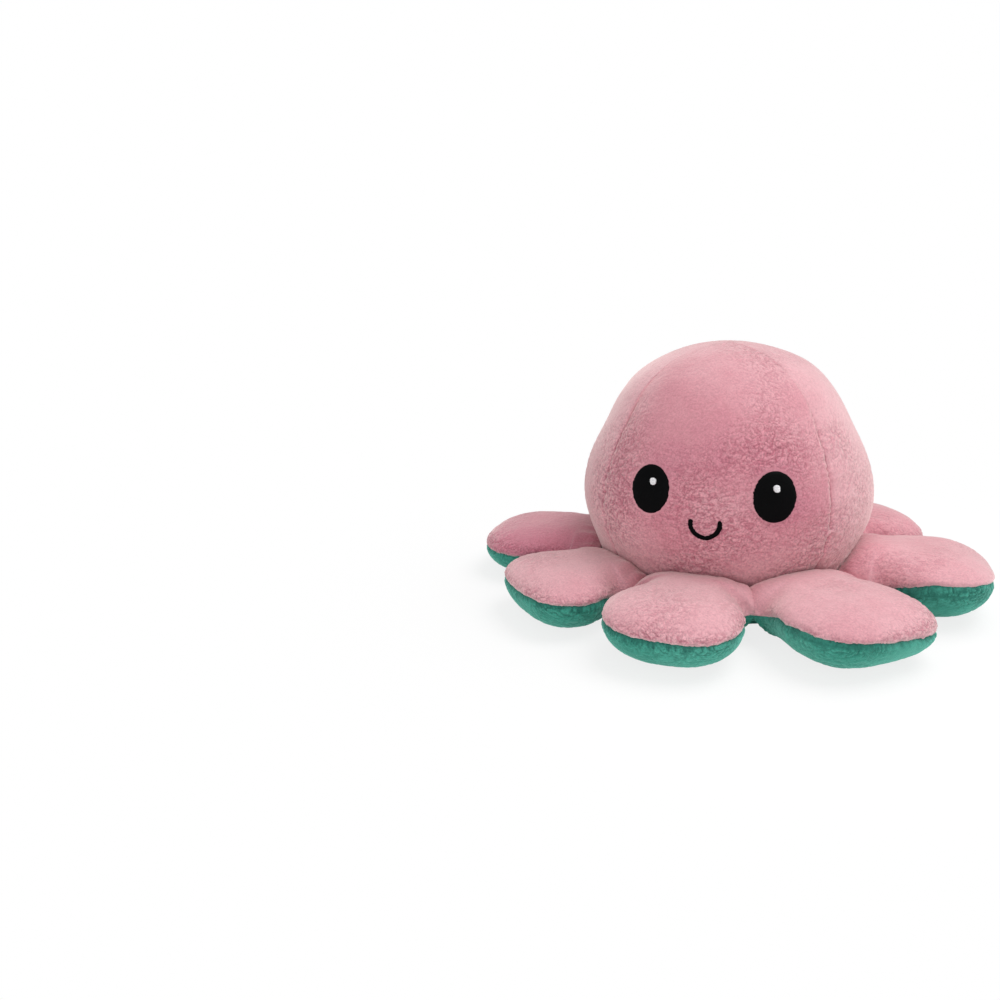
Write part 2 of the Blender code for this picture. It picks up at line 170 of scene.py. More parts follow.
def velour(name, deep, body, tips, painted_gap_shade, sheen):
    """Dyed short-pile polyester velour. Its tones deep, body and tips run from deeper to paler and are picked by random
    patches plus painted light and shade; the fourth colour is painted shade at the pile's foot, and the fifth is the
    sheen's tint.
    """
    made = bpy.data.materials.new(name)
    made.use_nodes = True
    tree = made.node_tree
    shader = tree.nodes["Principled BSDF"]
    place = add_node(tree, "ShaderNodeTexCoord").outputs["Object"]
    patch = add_node(
        tree,
        "ShaderNodeTexNoise",
        {"Vector": place, "Scale": 1 / (BRUSHED_PATCH_MM * MM), "Detail": 3, "Roughness": 0.55},
    )
    # Painted light and shade: the tone is a random patch noise plus an attribute that paints the pink paler where light
    # falls or the cloth is seen at a grazing angle, and deeper where it lies in shade.
    painted_light_amount = add_node(tree, "ShaderNodeAttribute", attribute_name="tone_and_painted_light")
    lean = add_node(
        tree,
        "ShaderNodeMath",
        {0: patch.outputs["Fac"], 1: painted_light_amount.outputs["Fac"]},
        operation="ADD",
    )
    tone_and_painted_light = set_ramp(
        add_node(tree, "ShaderNodeValToRGB", {"Fac": lean.outputs["Value"]}),
        [(0.25, deep), (0.5, body), (0.8, tips)],
    )
    # Painted shade: where the pile attribute is low, in the gaps between clumps and along seams, the colour is mixed
    # towards the dark gap colour.
    pile = add_node(tree, "ShaderNodeAttribute", attribute_name="pile")
    depth = add_node(
        tree,
        "ShaderNodeMapRange",
        {"Value": pile.outputs["Fac"], "From Min": 0, "From Max": 0.9, "To Min": 0.66, "To Max": 0},
    )
    with_painted_gap_shade = add_node(
        tree,
        "ShaderNodeMix",
        {"Factor": depth.outputs["Result"], 6: tone_and_painted_light, 7: linear(painted_gap_shade)},
        data_type="RGBA",
    )
    grain = add_node(
        tree,
        "ShaderNodeTexNoise",
        {"Vector": place, "Scale": 1 / (GRAIN_MM * MM), "Detail": 3, "Roughness": 0.7, "Distortion": 0.4},
    )
    rubbed = add_node(tree, "ShaderNodeAttribute", attribute_name="rubbed").outputs["Fac"]
    dark = add_node(tree, "ShaderNodeMapRange", {"Value": rubbed, "From Min": 0.2, "To Min": 0.86, "To Max": 0.58})
    pale = add_node(tree, "ShaderNodeMapRange", {"Value": rubbed, "From Min": 0.2, "To Min": 1.12, "To Max": 1.38})
    rough = add_node(tree, "ShaderNodeMapRange", {"Value": rubbed, "From Min": 0.2, "To Min": 0.4, "To Max": 0.9})
    speck = add_node(
        tree,
        "ShaderNodeMapRange",
        {
            "Value": grain.outputs["Fac"],
            "From Min": 0.3,
            "From Max": 0.7,
            "To Min": dark.outputs["Result"],
            "To Max": pale.outputs["Result"],
        },
    )
    mottled = add_node(
        tree,
        "ShaderNodeVectorMath",
        {0: with_painted_gap_shade.outputs[2], "Scale": speck.outputs["Result"]},
        operation="SCALE",
    )
    tree.links.new(mottled.outputs["Vector"], shader.inputs["Base Color"])
    bump = add_node(
        tree,
        "ShaderNodeBump",
        {"Height": grain.outputs["Fac"], "Strength": rough.outputs["Result"], "Distance": 0.5 * GRAIN_MM * MM},
    )
    tree.links.new(bump.outputs["Normal"], shader.inputs["Normal"])
    shader.inputs["Roughness"].default_value = 1
    shader.inputs["Specular IOR Level"].default_value = 0.1
    shader.inputs["Sheen Weight"].default_value = 1
    shader.inputs["Sheen Roughness"].default_value = 0.45
    shader.inputs["Sheen Tint"].default_value = linear(sheen)
    return made


PINK_VELOUR = velour("polyester_velour_dyed_pink", "C57E8E", "CF8D98", "DAA3AB", "A04A60", "F6E6E2")
TEAL_VELOUR = velour("polyester_velour_dyed_teal", "32806F", "3F9180", "51A492", "0A403A", "8FDCCB")
print("velour ready:", PINK_VELOUR.name, TEAL_VELOUR.name)

# %% [markdown]
# ## Embroidery thread
#
# The faces are machine-embroidered in satin stitch with a filament thread. Filament is smoother than the
# cloth, so it has a little gloss, and the twist of each thread shows as fine slanted lines along it.

# %% Thread material
THREAD_MM = 0.42
TWIST_MM = 0.16


def thread(name, shade, roughness):
    """Filament embroidery thread, satin stitched."""
    made = bpy.data.materials.new(name)
    made.use_nodes = True
    tree = made.node_tree
    shader = tree.nodes["Principled BSDF"]
    place = add_node(tree, "ShaderNodeTexCoord").outputs["Object"]
    twist = add_node(
        tree,
        "ShaderNodeTexNoise",
        {"Vector": place, "Scale": 1 / (TWIST_MM * MM), "Detail": 2, "Roughness": 0.6},
    )
    stitched = set_ramp(
        add_node(tree, "ShaderNodeValToRGB", {"Fac": twist.outputs["Fac"]}),
        [(0.3, shade[0]), (0.7, shade[1])],
    )
    tree.links.new(stitched, shader.inputs["Base Color"])
    bump = add_node(
        tree,
        "ShaderNodeBump",
        {"Height": twist.outputs["Fac"], "Strength": 0.4, "Distance": TWIST_MM * MM},
    )
    tree.links.new(bump.outputs["Normal"], shader.inputs["Normal"])
    shader.inputs["Roughness"].default_value = roughness
    shader.inputs["Specular IOR Level"].default_value = 0.05
    return made


BLACK_THREAD = thread("rayon_thread_black", ("020203", "0A0B0C"), 0.6)
WHITE_THREAD = thread("rayon_thread_white", ("C4C4C8", "FFFFFF"), 0.5)
print("thread ready:", BLACK_THREAD.name, WHITE_THREAD.name)

# %% [markdown]
# ## A piece of cloth
#
# A sewn panel starts flat, so each one starts here as a flat grid, one unit each way. A second layer is
# extruded from it, which makes it a closed piece with walls along its seams. Only the layer that shows is cut
# finely; the one inside stays coarse. A rule then puts every point of the unit sheet where it goes on the toy.

# %% Cloth helpers
def unit_cloth(across, up, cuts):
    """A closed sheet from 0 to 1 each way. Its upper layer, one unit over the lower one, is cut finely."""
    bm = bmesh.new()
    bmesh.ops.create_grid(bm, x_segments=across, y_segments=up, size=0.5)
    bmesh.ops.translate(bm, verts=bm.verts, vec=(0.5, 0.5, 0))
    grown = bmesh.ops.extrude_face_region(bm, geom=bm.faces[:])
    upper = {v for v in grown["geom"] if isinstance(v, bmesh.types.BMVert)}
    bmesh.ops.translate(bm, verts=list(upper), vec=(0, 0, 1))
    bmesh.ops.recalc_face_normals(bm, faces=bm.faces)
    shown = [e for e in bm.edges if e.verts[0] in upper and e.verts[1] in upper]
    bmesh.ops.subdivide_edges(bm, edges=shown, cuts=cuts, use_grid_fill=True)
    return bm


def make_piece(bm, name, rule):
    """Turn a unit cloth into a named object, with each point moved to where the rule puts it."""
    mesh = bpy.data.meshes.new(name)
    bm.to_mesh(mesh)
    bm.free()
    places = np.empty(len(mesh.vertices) * 3)
    mesh.vertices.foreach_get("co", places)
    x, y, z = places.reshape(-1, 3).T
    upper = z > 0.5
    mesh.vertices.foreach_set("co", rule(x, y, upper).ravel())
    bm = bmesh.new()
    bm.from_mesh(mesh)
    bmesh.ops.recalc_face_normals(bm, faces=bm.faces)
    bm.to_mesh(mesh)
    bm.free()
    mesh.shade_smooth()
    mesh.update()
    item = bpy.data.objects.new(name, mesh)
    bpy.context.collection.objects.link(item)
    return item, upper


print("a unit cloth with 4 cells each way has", len(unit_cloth(4, 4, 3).verts), "points")

# %% [markdown]
# ## Growing the pile
#
# Each point moves along the surface's normal by a noise that is folded at zero. Folding turns smooth noise
# into rounded clumps with narrow gaps, like the worm-shaped tufts that velour forms. The noise is stretched
# sideways, because the pile lies that way, and its strength changes slowly over the cloth, since brushed
# areas look smooth and rubbed ones look curly.

# %% Grow the pile
CLUMP_MM = 1.15
CLUMP_RISE_MM = 0.4
CLUMP_STRETCH = Vector((0.38, 0.38, 1))
CURLY_PATCH_MM = 24
WARP_MM = 4


def grow_pile(item, upper, seed, lawn=1, curl=0, painted_seam_shade=0, tone_and_painted_light=0):
    """Raise clumps of pile on the layer that shows. Each of the last four is a number, or an array of them.

    Of the last four, the first is how much pile there is, and the second is added to how curly it is. The third
    paints shade at the pile's foot, as along a seam's groove, and the fourth is painted light and shade added to
    the pink's tone.
    """
    mesh = item.data
    count = len(mesh.vertices)
    places = np.empty(count * 3)
    mesh.vertices.foreach_get("co", places)
    normals = np.empty(count * 3)
    mesh.vertex_normals.foreach_get("vector", normals)
    places = places.reshape(-1, 3)
    normals = normals.reshape(-1, 3)
    heights = np.ones(count)
    rises = np.zeros(count)
    rubbed = np.zeros(count)
    offset = Vector((seed * 0.37, seed * 0.11, seed * 0.53))
    lawn, curl, painted_seam_shade, tone_and_painted_light = (np.broadcast_to(values, count) for values in (lawn, curl, painted_seam_shade, tone_and_painted_light))
    for index in np.flatnonzero(upper):
        point = Vector(places[index])
        curly = noise.noise(point / (CURLY_PATCH_MM * MM) + offset)
        curly = min(max(0.5 + 0.7 * curly + curl[index], 0.25), 1.4) * lawn[index]
        warp = noise.noise_vector(point / (WARP_MM * MM)) * 1.5
        clump = min(abs(noise.noise(point * CLUMP_STRETCH / (CLUMP_MM * MM) + warp + offset)) * 3, 1)
        heights[index] = (1 - curly * (1 - clump)) * (1 - painted_seam_shade[index])
        rises[index] = (clump - 0.5) * curly
        rubbed[index] = curly
    mesh.vertices.foreach_set("co", (places + normals * (rises * CLUMP_RISE_MM * MM)[:, None]).ravel())
    for attribute_name, values in (("pile", heights), ("tone_and_painted_light", tone_and_painted_light), ("rubbed", rubbed)):
        attribute = mesh.attributes.new(attribute_name, "FLOAT", "POINT")
        attribute.data.foreach_set("value", values.astype(np.float32))
    mesh.update()


print("clumps are", CLUMP_MM, "mm wide and rise", CLUMP_RISE_MM, "mm")

# %% [markdown]
# ## The head
#
# The head is sewn from four equal panels, each a gore from the neck to the crown. Stuffing pushes every panel
# out, and the seams hold it in, so the seams lie in shallow valleys that meet at a dimple on the crown. Fine
# puckers cross each seam, where the thread gathers the cloth.
#
# The shape is measured from the frame: the widest level, the crown and the neck. Between them the outline is
# very nearly an ellipse.

# %% Measure the head
HEAD_POWER = 2.05
crown_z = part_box("face_panel")[1].z
neck_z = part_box("face_panel")[0].z
side = frame["nodes"]["right_head_panel"].data.vertices
widest = max(side, key=lambda vertex: vertex.co.x).co
head_radius = widest.x
widest_z = widest.z
neck_radius = max(math.hypot(v.co.x, v.co.y) for v in side if v.co.z < neck_z + 0.1 * MM)
neck_share = neck_radius / head_radius
head_drop = (widest_z - neck_z) / (1 - neck_share**HEAD_POWER) ** (1 / HEAD_POWER)
head_rise = crown_z - widest_z
print("head radius", round(head_radius, 4), "widest at", round(widest_z, 4), "crown", round(crown_z, 4))

# %% The shape of a stuffed panel
CLOTH_MM = 1.8
SEAM_VALLEY_MM = 0.5
SEAM_VALLEY_WIDTH_MM = 0.9
SEAM_LINE_MM = 0.45
PUFF_MM = 0.35
PUFF_WIDTH_MM = 9
PUCKER_MM = 0.28
PUCKER_PITCH_MM = 3.1
PUCKER_REACH_MM = 2.2
RIPPLE_MM = 0.6
RIPPLE_PITCH_MM = 9.5
RIPPLE_REACH_MM = 8
FADE_FROM_DEG = 26
FADE_TO_DEG = 46
SLOPE_MM = 3.2            # the sides lean in over the widest level
SLOPE_LIFT = math.radians(26)
SAG_MM = 1.5              # and the stuffing sags under it, more on the right
SAG_LIFT = math.radians(-12)
DENT_MM = 2.2             # the left shoulder is stuffed less
DENT_TURN = math.radians(-68)
DENT_LIFT = math.radians(38)
TUCK_IN_MM = 1.0
TUCK_DOWN_MM = 5.2
TUCK_SHARE = 0.03
SIDES = {"face": 0, "right_head": 90, "back_head": 180, "left_head": 270}
QUARTER = math.pi / 2
SEAM_TURN = math.radians(47)      # the face and the back are cut a little wider than the sides
neck_lift = -math.asin(((widest_z - neck_z) / head_drop) ** (HEAD_POWER / 2))


def lumps(points, size_mm, seed):
    """Slow, soft unevenness of the stuffing, from -1 to 1."""
    offset = Vector((seed, seed * 0.7, seed * 0.3))
    return np.array([noise.noise(Vector(p) / (size_mm * MM) + offset) for p in points])


def smooth_share(value, low, high):
    """How far a value has come from low to high, eased at both ends."""
    share = np.clip((value - low) / (high - low), 0, 1)
    return share * share * (3 - 2 * share)


def seam_distance(turn, radius):
    """Millimetres to the nearest side seam, at an angle round the head."""
    from_middle = np.abs((turn + QUARTER) % (2 * QUARTER) - QUARTER)
    return radius * np.sin(np.abs(from_middle - SEAM_TURN)) / MM


def head_skin(turn, lift, rise_mm):
    """Points that lie rise_mm over the stuffed head, at an angle round it and a lift from its widest level."""
    sine = np.sign(lift) * np.abs(np.sin(lift)) ** (2 / HEAD_POWER)
    cosine = np.abs(np.cos(lift)) ** (2 / HEAD_POWER)
    radius = head_radius * cosine
    z = widest_z + np.where(lift > 0, head_rise, head_drop) * sine
    place = np.stack([radius * np.sin(turn), -radius * np.cos(turn), z], 1)
    outward = np.stack([cosine * np.sin(turn), -cosine * np.cos(turn), sine], 1)
    from_seam = seam_distance(turn, radius)
    up = (lift - neck_lift) / (QUARTER - neck_lift)
    along = up * (head_rise + head_radius) / MM
    held = 1 - 0.95 * smooth_share(lift, math.radians(FADE_FROM_DEG), math.radians(FADE_TO_DEG))
    valley = SEAM_VALLEY_MM * np.exp(-((from_seam / SEAM_VALLEY_WIDTH_MM) ** 2)) * held
    puff = PUFF_MM * (0.4 - np.exp(-from_seam / PUFF_WIDTH_MM)) * held
    beat = 2 * math.pi * along / PUCKER_PITCH_MM
    uneven_pull = np.clip(0.5 + 1.6 * lumps(place, 7, 1.3), 0, 1)
    pucker = PUCKER_MM * uneven_pull * np.sin(beat + 3 * np.sin(along / 6)) * held
    pucker = pucker * np.exp(-from_seam / PUCKER_REACH_MM)
    slow = 2 * math.pi * along / RIPPLE_PITCH_MM
    loose = np.clip(lumps(place, 24, 5.9) + 0.25, 0, 1)
    ripple = RIPPLE_MM * loose * np.sin(slow + 2 * np.sin(turn * 3)) * np.exp(-from_seam / RIPPLE_REACH_MM) * held
    uneven = 0.7 * lumps(place, 30, 3.1) + 0.25 * lumps(place, 12, 7.7)
    dent = DENT_MM * np.exp(-(((turn - DENT_TURN) / 0.45) ** 2) - ((lift - DENT_LIFT) / 0.3) ** 2)
    slope = SLOPE_MM * np.exp(-(((lift - SLOPE_LIFT) / 0.35) ** 2)) * np.sin(turn) ** 2
    sag = SAG_MM * np.exp(-(((lift - SAG_LIFT) / 0.3) ** 2)) * np.sin(turn) ** 2 * (0.7 + 0.3 * np.sin(turn))
    tuck = np.exp(-up / TUCK_SHARE)
    even = puff + pucker + ripple - valley + sag - slope - dent
    shift = even + uneven * (1 - tuck) - TUCK_IN_MM * tuck + rise_mm
    place = place + outward * (shift * MM)[:, None]
    place[:, 2] -= TUCK_DOWN_MM * MM * tuck
    return place


def lift_at(z):
    """The lift of a height on the head."""
    reach = head_rise if z > widest_z else head_drop
    return math.copysign(math.asin((abs(z - widest_z) / reach) ** (HEAD_POWER / 2)), z - widest_z)


def head_panel_rule(middle, half_turn):
    """Where the points of one head panel go. x runs round the head, and y up from the neck to the crown."""

    def rule(x, y, upper):
        turn = middle + (2 * x - 1) * half_turn
        lift = neck_lift + (QUARTER - neck_lift) * y
        return head_skin(turn, lift, np.where(upper, 0, -CLOTH_MM))

    return rule


# %% [markdown]
# ## Where the embroidery lies
#
# Embroidery pulls the cloth down and leaves no pile to stand under it. So before the panels are made, the
# places of the eyes and the smile are measured on the CAD solids, and the pile is shorn under the eyes.

# %% Measure the embroidery
def measure_on_head(node):
    """The middle of a piece of embroidery, as an angle round the head and a height, and half its size."""
    points = np.array([v.co for v in frame["nodes"][node].data.vertices])
    low, high = points.min(0), points.max(0)
    middle = (low + high) / 2
    turn = math.atan2(middle[0], -middle[1])
    sideways = points[:, 0] * math.cos(turn) + points[:, 1] * math.sin(turn)
    return turn, middle[2], (sideways.max() - sideways.min()) / 2, (high[2] - low[2]) / 2


EYES = {name: measure_on_head(f"{name}_eye") for name in ("left", "right")}
GLINTS = {name: measure_on_head(f"{name}_eye_glint") for name in ("left", "right")}
SMILE = measure_on_head("smile")
FACE_ASIDE = math.radians(0.48)   # this face was embroidered a hair off the middle of its panel
SHORN_MARGIN_MM = 0.3


def shorn(points):
    """How much pile is left at each point of the head, from 0 under the eyes to 1."""
    left = np.ones(len(points))
    turns = np.arctan2(points[:, 0], -points[:, 1])
    radii = np.hypot(points[:, 0], points[:, 1])
    for turn, z, half_width, half_height in EYES.values():
        turn = turn + FACE_ASIDE
        across = radii * np.sin(turns - turn) / (half_width + SHORN_MARGIN_MM * MM)
        up = (points[:, 2] - z) / (half_height + SHORN_MARGIN_MM * MM)
        facing = np.cos(turns - turn) > 0
        inside = np.clip((1.12 - np.hypot(across, up)) / 0.12, 0, 1) * facing
        left = np.minimum(left, 1 - inside)
    return left


print("eyes stand", [round(math.degrees(eye[0]), 1) for eye in EYES.values()], "degrees round the head")


# %% [markdown]
# ## Finishing a piece
#
# Each piece takes its material and hides the CAD solids it stands for. When it is given a body, it is
# parented to that body's empty, so that it moves with it.

# %% Make the head panels
def finish_piece(item, finish, body, stands_for):
    """Give a piece its material, and tell the frame what it stands for and what it moves with."""
    item.data.materials.append(finish)
    if stands_for:
        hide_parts(*stands_for)
    if body:
        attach(item, body)


FINE = 8
# Painted sheen: the side panels' pink is painted paler, the way cloth looks when seen at a grazing angle.
PAINTED_SHEEN_PANELS = {"left_head": 0.26, "right_head": 0.22}
for side_name, degrees in SIDES.items():
    half_turn = SEAM_TURN if degrees % 180 == 0 else QUARTER - SEAM_TURN
    rule = head_panel_rule(math.radians(degrees), half_turn)
    finer = FINE + 2 if side_name == "face" else FINE
    panel, shown = make_piece(unit_cloth(24, 28, finer), f"{side_name}_velour", rule)
    places = np.array([v.co for v in panel.data.vertices])
    turns = np.arctan2(places[:, 0], -places[:, 1])
    from_seam = seam_distance(turns, np.hypot(places[:, 0], places[:, 1]))
    high = smooth_share(places[:, 2], widest_z + 20 * MM, widest_z + 36 * MM)
    # Painted shade: a thin darker line along each seam, as in its groove, broken up and fading out towards the crown.
    buried = np.clip(0.7 + 1.5 * lumps(places, 4, 6.1), 0.15, 1) * (1 - 0.95 * high)
    painted_seam_line = 0.9 * np.exp(-((from_seam / SEAM_LINE_MM) ** 2)) * buried
    # Painted light and shade in the pink's tone: paler towards the sides, as sheen at a grazing angle, more so on the
    # left; paler on the top, where light falls; and paler low down, to lift the shade under the head.
    painted_side_sheen = smooth_share(np.abs(places[:, 0]), 0.5 * head_radius, head_radius)
    low = 1 - smooth_share(places[:, 2], neck_z, widest_z)
    painted_side_sheen = painted_side_sheen * np.where(places[:, 0] > 0, 0.25, 0.45)
    painted_light_amount = PAINTED_SHEEN_PANELS.get(side_name, 0) + painted_side_sheen + 0.1 * high + 0.3 * low
    curl = (0.3 if side_name == "face" else 0.1) - 0.5 * high
    grow_pile(panel, shown, 1, lawn=shorn(places), curl=curl, painted_seam_shade=painted_seam_line, tone_and_painted_light=painted_light_amount)
    stands_for = [f"{side_name}_panel"] + (["head_stuffing"] if side_name == "face" else [])
    finish_piece(panel, PINK_VELOUR, "head", stands_for)
    print(panel.name, "has", len(panel.data.polygons), "faces")

# %% [markdown]
# ## The tentacles
#
# A tentacle is a petal: a pink top and a teal underside sewn together along the edge, then stuffed. At its
# root it isn't closed. The cloth runs on up to the neck, and there neighbouring petals meet in a crease that
# runs out to a notch, where they part.
#
# One rule gives the place of any point of a petal. Out to its widest place the petal is as wide as its sector
# allows, less the parting; past that, the square sheet is drawn into a half disc, which keeps the cells even
# and gives the tip its round edge.

# %% Measure the tentacles
hinges = [Vector(joint["pos_m"]) for joint in frame["joints"]]
hinge_radius = math.hypot(hinges[0].x, hinges[0].y)
seam_z = hinges[0].z
toward = Vector((hinges[0].x, hinges[0].y, 0)).normalized()
sideways = Vector((-toward.y, toward.x, 0))
top_points = [v.co for v in frame["nodes"]["tentacle_1_top"].data.vertices]
tip_radius = max(p.dot(toward) for p in top_points)
half_width = max(abs(p.dot(sideways)) for p in top_points)
top_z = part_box("tentacle_1_top")[1].z
print("tentacles reach", round(tip_radius, 4), "and are", round(2 * half_width, 4), "wide")

# %% The shape of a petal
ROOT_RADIUS = neck_radius - 2.2 * MM
ROOT_Z = neck_z - 2.5 * MM
ROOT_RISE_MM = 3.4
CREASE_TOP_Z = neck_z - 0.9 * MM
CREASE_FROM = neck_radius + 0.5 * MM
CREASE_OVERLAP_MM = 0.25
NOTCH_RADIUS = 0.0605
NOTCH_DIP_MM = 2.6
PARTING_REACH_MM = 8.0
SWELL_POWER = 2.6
EDGE_POWER = 0.5
UNDER_CREASE_MM = 8.5     # how far two undersides' edges sink where they meet at the base ring
SEAM_WOBBLE_MM = 0.45
middle_radius = (hinge_radius + tip_radius) / 2
sector = math.tan(math.pi / len(hinges))

# No two petals are stuffed alike. Each row has how far the petal leans aside, how much longer it is, its
# share of the full width, its share of the full height, how deep the gathers at its root are, how deep the
# crease after it is, how far its edge seam is twisted up on one side, how far that droops at the tip, how much
# light is painted into its pink (below 0 paints shade, as on the seventh, which lies in the head's shade), and
# the power of the tip's outline: 2 is round, more is blunter. Lengths are in millimetres.
Petal = namedtuple("Petal", "lean longer width height gather crease twist droop paler blunt")
PETALS = (
    Petal(-3.8, 0.4, 0.89, 1.00, 0.35, 0.0, -0.5, 0.0, 0.05, 2.6),
    Petal(-3.0, 0.9, 0.98, 1.02, 0.30, 3.0, -2.0, 0.5, 0.0, 3.0),
    Petal(-2.2, 1.6, 1.00, 1.24, 0.30, 1.5, -3.6, -0.4, -0.05, 3.0),
    Petal(0.0, -4.2, 1.00, 1.00, 0.35, 1.0, 0.0, 2.0, -0.12, 2.6),
    Petal(-2.0, 0.0, 0.98, 1.00, 0.35, 1.0, 0.0, 0.0, 0.0, 2.5),
    Petal(-8.0, -6.5, 0.88, 0.88, 0.35, 1.0, 0.0, 1.0, 0.0, 2.4),
    Petal(3.8, 2.0, 1.00, 0.86, 0.80, 3.0, 0.0, 2.0, -0.60, 2.5),
    Petal(4.0, -4.2, 0.98, 0.94, 0.80, 2.5, 0.4, 0.2, 0.08, 2.7),
)


def petal_plan(x, y, number):
    """Where a point of the unit sheet lies in plan: outward, aside, how near the edge, and its share across."""
    petal = PETALS[number]
    across = 2 * x - 1
    across = 0.45 * across + 0.55 * np.sin(across * QUARTER)
    root_share = (middle_radius - ROOT_RADIUS) / (tip_radius - ROOT_RADIUS)
    before = np.clip(y / root_share, 0, 1)
    after = np.clip((y - root_share) / (1 - root_share), 0, 1)
    after = 0.45 * after + 0.55 * np.sin(after * QUARTER)
    outward = ROOT_RADIUS + (middle_radius - ROOT_RADIUS) * before
    parting = middle_radius * sector - half_width * petal.width
    past_notch = np.clip(outward - NOTCH_RADIUS, 0, None)
    open_share = np.sqrt(1 - np.exp(-past_notch / (PARTING_REACH_MM * MM)))
    width = outward * sector + CREASE_OVERLAP_MM * MM - parting * open_share
    round_aside = across * np.sqrt(1 - after**2 / 2)
    round_out = after * np.sqrt(1 - across**2 / 2)
    near_edge = np.hypot(round_aside, round_out)
    powers = np.abs(round_aside) ** petal.blunt + np.abs(round_out) ** petal.blunt
    blunter = near_edge / np.clip(powers, 1e-9, None) ** (1 / petal.blunt)
    tip = tip_radius + petal.longer * MM
    aside = round_aside * blunter * width
    outward = outward + (tip - middle_radius) * round_out * blunter
    return outward, aside, np.clip(near_edge, 0, 1), across


def leaned(outward, aside, across, number):
    """A place in plan, moved aside by the petal's lean. At a crease it is turned by half its two petals' leans."""
    petal = PETALS[number]
    before_mm = (petal.lean + PETALS[number - 1].lean) / 2
    after_mm = (petal.lean + PETALS[(number + 1) % len(PETALS)].lean) / 2
    crease_mm = before_mm + (after_mm - before_mm) * (across + 1) / 2
    opened = smooth_share(outward, NOTCH_RADIUS, middle_radius)
    shift = (crease_mm + (petal.lean - crease_mm) * opened) * MM
    shift = shift * smooth_share(outward, ROOT_RADIUS - 14 * MM, NOTCH_RADIUS + 2 * MM)
    angle = np.arctan2(aside, outward)
    return outward - shift * np.sin(angle) * (1 - opened), aside + shift * np.cos(angle)


def seam_height(outward, across, number):
    """The height of a petal's edge seam. It dips at the notch, where two petals join."""
    petal = PETALS[number]
    dip = NOTCH_DIP_MM * np.exp(-(((outward - NOTCH_RADIUS) / (7 * MM)) ** 2))
    opened = smooth_share(outward, NOTCH_RADIUS, middle_radius + 8 * MM)
    return seam_z + (petal.twist * across * opened - petal.droop * opened**2 - dip) * MM


def merged(outward):
    """How far neighbouring petals run into each other, from 0 at the neck and past the notch to 1 between."""
    joined = smooth_share(outward, CREASE_FROM + 1 * MM, NOTCH_RADIUS - 3 * MM)
    return joined * (1 - smooth_share(outward, NOTCH_RADIUS, NOTCH_RADIUS + 12 * MM))


def petal_top(outward, aside, near_edge, across, number):
    """The height of a petal's pink top. It climbs steeply from the neck, where it is pressed to the head.

    Next to the neck two petals are pressed together in a sharp crease. Further out they merge in a smooth web,
    which rounds off at the notch.
    """
    petal = PETALS[number]
    from_root = np.clip(outward - ROOT_RADIUS, 0, None)
    full_z = seam_z + (top_z - seam_z) * petal.height
    ridge = full_z - (full_z - ROOT_Z) * np.exp(-from_root / (ROOT_RISE_MM * MM))
    seam = seam_height(outward, across, number)
    deeper = PETALS[number - 1].crease + (petal.crease - PETALS[number - 1].crease) * (across + 1) / 2
    crease_top = CREASE_TOP_Z - deeper * MM * smooth_share(outward, ROOT_RADIUS, CREASE_FROM)
    along = np.clip((outward - CREASE_FROM) / (NOTCH_RADIUS - CREASE_FROM), 0, 1)
    crease = seam + (crease_top - seam) * np.sqrt(1 - along**2.8)
    crease = crease - (CREASE_TOP_Z - ROOT_Z) * np.exp(-from_root / (0.8 * MM))
    swell = np.clip(1 - near_edge**SWELL_POWER, 0, 1) ** EDGE_POWER
    swell = swell + (1 - near_edge**3.4 - swell) * merged(outward)
    angle = np.arctan2(aside, outward) / math.atan(sector)
    reach = np.exp(-(((outward - neck_radius - 4 * MM) / (5 * MM)) ** 2))
    folds = np.sin(angle * 24 + 2 * np.sin(angle * 5)) * np.abs(angle) * (1 - near_edge**8) * (1 + across) / 2
    return crease + (ridge - crease) * swell + petal.gather * MM * folds * reach


def petal_underside(outward, near_edge, across, number):
    """The height of a petal's teal underside, which rests flat on the table in the middle."""
    floor_z = 6 * MM * (1 - smooth_share(outward, neck_radius, neck_radius + 12 * MM))
    seam = seam_height(outward, across, number)
    parted = smooth_share(outward, hinge_radius - 1 * MM, NOTCH_RADIUS - 2 * MM)
    edge = seam - UNDER_CREASE_MM * MM * (1 - parted)
    swell = np.clip(1 - near_edge**SWELL_POWER, 0, 1) ** EDGE_POWER
    swell = swell + (1 - near_edge**3.4 - swell) * merged(outward) * 0.7
    return np.maximum(edge - (edge - floor_z + 0.5 * MM) * swell, floor_z)


